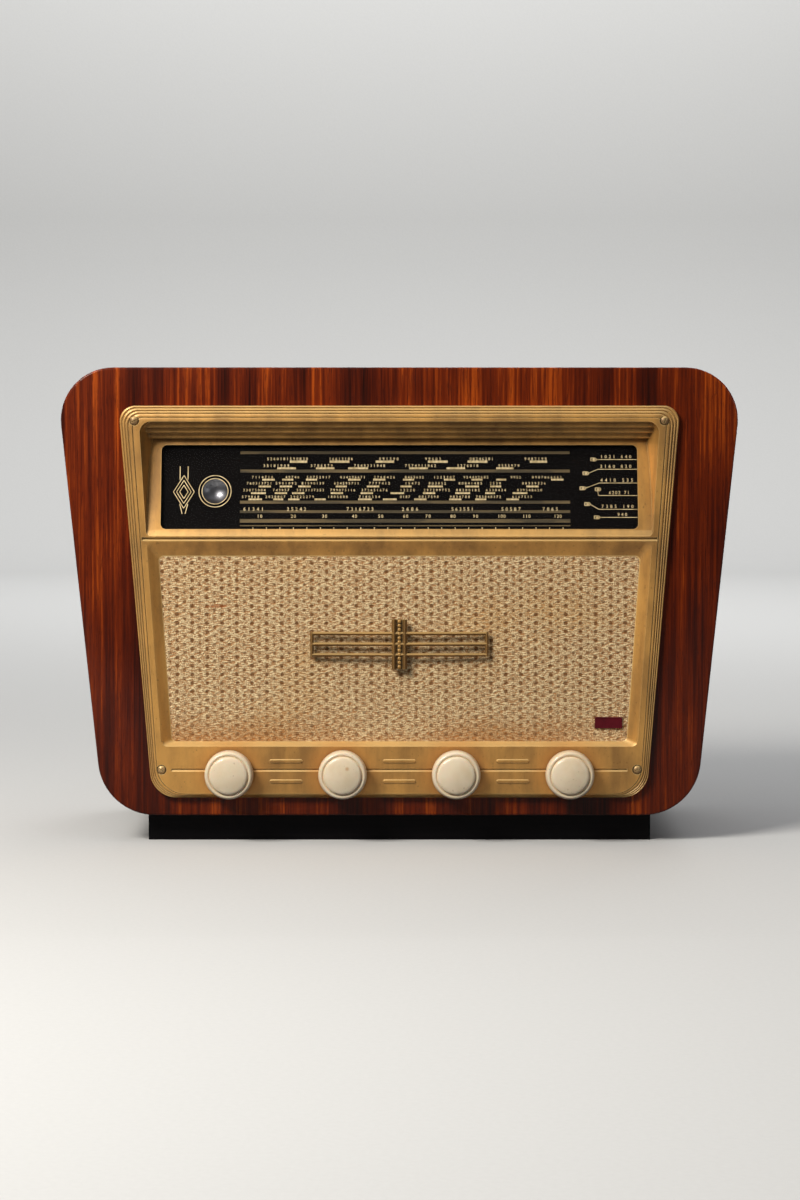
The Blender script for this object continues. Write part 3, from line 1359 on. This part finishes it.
bm = bmesh.new()
for x, z in SCREWS:
    head = [(0, -8.0), (0.9, -7.95), (1.8, -7.7), (2.6, -7.25), (3.2, -6.6), (3.55, -5.9), (3.6, -5.5),
            (1.7, -5.5), (1.7, 7), (0, 8)]
    add_turned(bm, x, z, head, 40)
screws = finish_mesh("frame_screws_domed", bm, replaces=["bezel_screws"],
                     smooth=40)
for i, (x, z) in enumerate(SCREWS):
    lean = math.radians((25, -40, 65, 10)[i])
    bm = bmesh.new()
    corners = [(-5, -0.45), (5, -0.45), (5, 0.45), (-5, 0.45)]
    add_slab(bm, [(x + a * math.cos(lean) - b * math.sin(lean),
                   z + a * math.sin(lean) + b * math.cos(lean)) for a, b in corners], -9, -7.1)
    cut(screws, cutter(bm))
sharpen(screws, 40)
gilt_screw.on(screws)
print("name plate and", len(SCREWS), "screws ready")

# %% [markdown]
# The set stands on a pale floor that curves up into a wall far away on all sides, like a
# photographer's roll of paper that goes all the way round, so that any other camera is
# inside it too. The camera is where the photograph was taken: a long lens, 2.36 m away and
# a little above the set. The light is a soft lamp at the upper left, close enough to fade
# towards the right, a weaker one at the right, one behind the set, one for the backdrop,
# and a pale sky that is brighter overhead, so that upright glossy faces stay deep in colour.
# The paper is pale to the camera and in reflections, but throws less light back onto the
# set than it shows.

# %% Stage
FLOOR_R, BEND_R, WALL_H = 3.7, 0.8, 3.0


def paper_roll():
    """A round floor that bends up into a wall."""
    bm = bmesh.new()
    bend = [(0.01, 0.0), (FLOOR_R, 0.0)]
    for i in range(1, 13):
        angle = math.pi / 2 * i / 12
        bend.append((FLOOR_R + BEND_R * math.sin(angle), BEND_R - BEND_R * math.cos(angle)))
    bend.append((FLOOR_R + BEND_R, WALL_H))
    turns = [2 * math.pi * i / 96 for i in range(96)]
    add_loft(bm, [[(r * math.cos(a), r * math.sin(a), z) for a in turns] for r, z in bend],
             caps=(True, False))
    for face in bm.faces:
        face.smooth = True
    return object_of("paper_roll", bm)


roll = paper_roll()
paper = Finish("pale_paper", Roughness=0.9, Specular_IOR_Level=0.2)
fibre = paper.noise(paper.place(), 260, 4)
paper.set("Base_Color", paper.mix(fibre, rgb(202, 202, 200), rgb(208, 208, 206)))
paper.bump(fibre, 0.0001)
dim = paper.node("ShaderNodeBsdfDiffuse", None, {"Color": rgb(84, 84, 84)})
shown = paper.node("ShaderNodeLightPath", output="Is Camera Ray")
for ray in ("Is Glossy Ray", "Is Transmission Ray"):
    shown = shown.math("MAXIMUM", paper.node("ShaderNodeLightPath", output=ray))
seen = Value(paper, paper.shader.outputs[0])
both = paper.node("ShaderNodeMixShader", None, {0: shown, 1: dim, 2: seen})
paper.feed(paper.tree.nodes["Material Output"].inputs["Surface"], both)
paper.on(roll)
print("faces of the paper roll:", len(roll.data.polygons))

# %% Lamps, sky and camera
def soft_lamp(name, spot, aim, size, power, colour=(1, 1, 1)):
    lamp = bpy.data.lights.new(name, "AREA")
    lamp.shape = "RECTANGLE"
    lamp.size, lamp.size_y = size
    lamp.energy = power
    lamp.color = colour
    holder = link_new(name, lamp)
    holder.location = spot
    holder.rotation_euler = (Vector(aim) - Vector(spot)).to_track_quat("-Z", "Y").to_euler()


soft_lamp("key_lamp", (-1.0, -1.15, 1.35), (0, 0, 0.2), (0.7, 0.6), 41, (1.0, 0.96, 0.9))
soft_lamp("fill_lamp", (1.9, -2.0, 0.9), (0, 0, 0.2), (1.2, 1.2), 7, (0.95, 0.97, 1.0))
soft_lamp("rear_lamp", (0.8, 2.0, 1.8), (0, 0.1, 0.2), (1.4, 1.0), 11)
soft_lamp("backdrop_lamp", (0, 2.6, 2.9), (0, 4.5, 0.6), (2.4, 0.8), 90)

sky = bpy.data.worlds.new("pale_sky")
sky.use_nodes = True
glow = sky.node_tree.nodes.new("ShaderNodeMapRange")
parts = sky.node_tree.nodes.new("ShaderNodeSeparateXYZ")
around = sky.node_tree.nodes.new("ShaderNodeTexCoord")
background = sky.node_tree.nodes["Background"]
sky.node_tree.links.new(around.outputs["Generated"], parts.inputs[0])
sky.node_tree.links.new(parts.outputs[2], glow.inputs[0])
sky.node_tree.links.new(glow.outputs[0], background.inputs["Strength"])
for socket, value in {1: 0.6, 2: 1.0, 3: 0.1, 4: 0.8}.items():
    glow.inputs[socket].default_value = value
background.inputs["Color"].default_value = (0.95, 0.96, 1.0, 1)
bpy.context.scene.world = sky

lens = bpy.data.cameras.new("camera")
lens.lens = 85
lens.sensor_width = 36
camera = link_new("camera", lens)
camera.location = (0.0005, -2.362, 0.351)
camera.rotation_euler = (math.radians(86.089), 0, 0)
bpy.context.scene.camera = camera
bpy.context.scene.view_settings.view_transform = "Standard"
print("camera", round(camera.location.y, 3), "m from the middle of the set")

# %% [markdown]
# Last come the sizes. The finer pieces may not make the set larger than its solids, so both
# boxes are written down and compared, and `finish` checks that every piece rides on a body.

# %% Sizes and end
bpy.context.view_layer.update()
